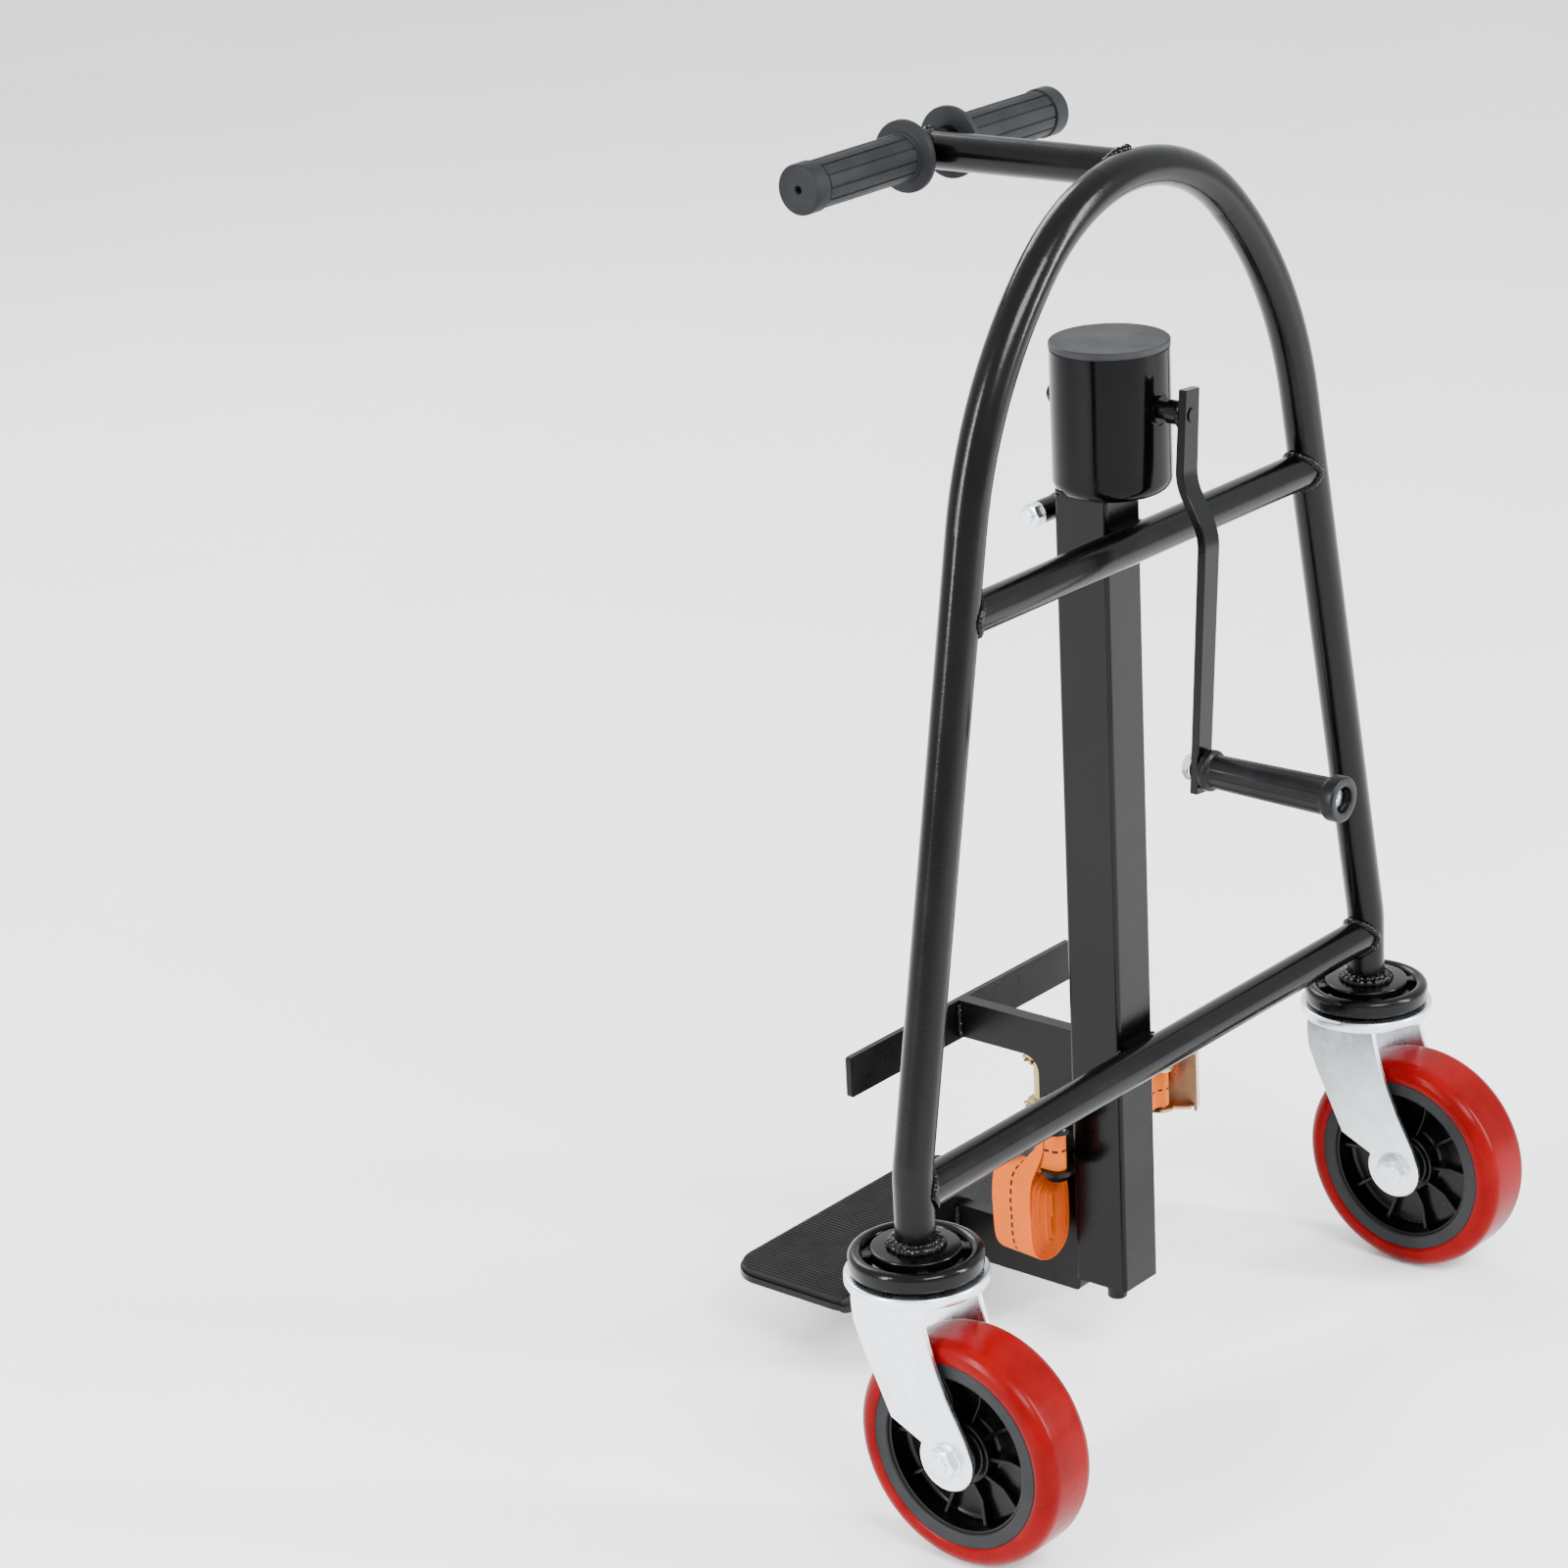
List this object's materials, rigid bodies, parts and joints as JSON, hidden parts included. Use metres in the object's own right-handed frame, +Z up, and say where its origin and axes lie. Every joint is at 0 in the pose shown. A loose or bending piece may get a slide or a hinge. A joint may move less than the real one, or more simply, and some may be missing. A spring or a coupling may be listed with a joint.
{
  "type": "hand-crank lifting dolly",
  "caption": "Hand-crank lifting dolly: tubular hoop frame on two swivel casters, slotted column with screw-driven toe plate, T handle and ratchet strap.",
  "frame": {"origin": "floor level, under the middle of the part's bounding box, on the plane of symmetry of the hoop", "axes": "+Z up; -Y points to the load and the toe plate, +Y to the user and the crank grip; +X is on the user's left, with the spare strap roll on the +X side"},
  "size_m": [0.589, 0.44, 0.8304],
  "materials": {
    "frame_black": "gloss",
    "housing_black": "gloss",
    "lid_grey": "satin",
    "carriage_black": "satin",
    "grip_rubber": "matte",
    "pad_rubber": "matte",
    "zinc": "satin",
    "steel": "satin",
    "bronze": "satin",
    "tread_red": "gloss",
    "rim_grey": "matte",
    "hub_black": "matte",
    "webbing_orange": "matte",
    "ratchet_rose": "satin",
    "ratchet_gold": "satin"
  },
  "bodies": {
    "frame": {"hoop": "frame_black", "upper_crossbar": "frame_black", "lower_crossbar": "frame_black", "column_pads": "frame_black", "column": "frame_black", "handle_stub": "frame_black", "handle_bar": "frame_black", "grip_left": "grip_rubber", "grip_right": "grip_rubber", "gear_housing": "housing_black", "housing_lid": "lid_grey", "shaft_bushes": "housing_black", "screw_top_bush": "bronze", "screw_foot_block": "steel", "cross_bolt_lug": "frame_black", "cross_bolt": "zinc", "cross_bolt_nut": "zinc", "bolt_spacers": "carriage_black", "caster_caps": "frame_black", "stem_plugs": "steel", "kingpins": "zinc", "swivel_balls": "steel"},
    "screw": {"lead_screw": "steel", "bevel_gear": "steel"},
    "crank": {"crank_shaft": "frame_black", "bevel_pinion": "steel", "shaft_nut": "zinc", "crank_arm": "frame_black", "crank_spindle": "zinc", "spindle_nut": "zinc"},
    "crank_handle": {"crank_grip": "grip_rubber"},
    "carriage": {"carriage_plate": "carriage_black", "slider_block": "steel", "lift_nut": "bronze", "load_bar": "carriage_black", "toe_plate": "carriage_black", "toe_pad": "pad_rubber", "strap_lugs": "carriage_black", "lug_bolts": "frame_black", "lug_nuts": "zinc"},
    "spare_strap": {"strap_roll": "webbing_orange"},
    "ratchet": {"strap_short": "webbing_orange", "ratchet_frame": "ratchet_gold", "ratchet_pins": "zinc"},
    "ratchet_lever": {"ratchet_handle": "ratchet_rose"},
    "lever_pawl": {"handle_pawl": "zinc"},
    "lock_pawl": {"frame_pawl": "zinc"},
    "spool": {"ratchet_spool": "ratchet_gold"},
    "caster_left": {"fork_left": "zinc", "axle_left": "zinc"},
    "wheel_left": {"wheel_hub_left": "hub_black", "wheel_rim_left": "rim_grey", "tread_left": "tread_red"},
    "caster_right": {"fork_right": "zinc", "axle_right": "zinc"},
    "wheel_right": {"wheel_hub_right": "hub_black", "wheel_rim_right": "rim_grey", "tread_right": "tread_red"}
  },
  "joints": [
    {"name": "crank_turn", "type": "hinge", "parent": "frame", "child": "crank", "pos_m": [0, 0.09, 0.664], "axis": [0, -1, 0], "range_deg": [0, 20250]},
    {"name": "screw_turn", "type": "hinge", "parent": "frame", "child": "screw", "pos_m": [0, 0.0265, 0.3], "axis": [0, 0, -1], "range_deg": [0, 13500]},
    {"name": "lift", "type": "slide", "parent": "frame", "child": "carriage", "axis": [0, 0, 1], "range_m": [0, 0.3]},
    {"name": "crank_grip_spin", "type": "hinge", "parent": "crank", "child": "crank_handle", "pos_m": [0.01916, 0.165, 0.44504], "axis": [0, 1, 0], "continuous": true},
    {"name": "swivel_left", "type": "hinge", "parent": "frame", "child": "caster_left", "pos_m": [-0.2495, 0.06, 0.18], "axis": [0, 0, 1], "continuous": true},
    {"name": "swivel_right", "type": "hinge", "parent": "frame", "child": "caster_right", "pos_m": [0.2495, 0.06, 0.18], "axis": [0, 0, 1], "continuous": true},
    {"name": "wheel_spin_left", "type": "hinge", "parent": "caster_left", "child": "wheel_left", "pos_m": [-0.2495, 0.1, 0.075], "axis": [1, 0, 0], "continuous": true},
    {"name": "wheel_spin_right", "type": "hinge", "parent": "caster_right", "child": "wheel_right", "pos_m": [0.2495, 0.1, 0.075], "axis": [1, 0, 0], "continuous": true},
    {"name": "spare_strap_swing", "type": "hinge", "parent": "carriage", "child": "spare_strap", "pos_m": [0.037, 0.008, 0.1665], "axis": [0, 0, 1], "range_deg": [-1, 10]},
    {"name": "ratchet_swing", "type": "hinge", "parent": "carriage", "child": "ratchet", "pos_m": [-0.037, 0.008, 0.1665], "axis": [0, 0, -1], "range_deg": [-4, 12]},
    {"name": "lever_open", "type": "hinge", "parent": "ratchet", "child": "ratchet_lever", "pos_m": [-0.04644, -0.06462, 0.1665], "axis": [0, 0, 1], "range_deg": [0, 180]},
    {"name": "lever_pawl_slide", "type": "slide", "parent": "ratchet_lever", "child": "lever_pawl", "axis": [-0.6401, 0.7683, 0], "range_m": [-0.0022, 0.002], "stiffness_N_per_m": 400, "springref_m": -0.0035},
    {"name": "lock_pawl_slide", "type": "slide", "parent": "ratchet", "child": "lock_pawl", "axis": [-0.1702, 0.9854, 0], "range_m": [0, 0.004], "stiffness_N_per_m": 400, "springref_m": -0.0025},
    {"name": "spool_turn", "type": "hinge", "parent": "ratchet", "child": "spool", "pos_m": [-0.04644, -0.06462, 0.1665], "axis": [0, 0, 1], "continuous": true}
  ],
  "couplings": [
    {"joint": "screw_turn", "follows": "crank_turn", "ratio": 0.66667},
    {"joint": "lift", "follows": "crank_turn", "m_per_rad": 0.00084882}
  ]
}
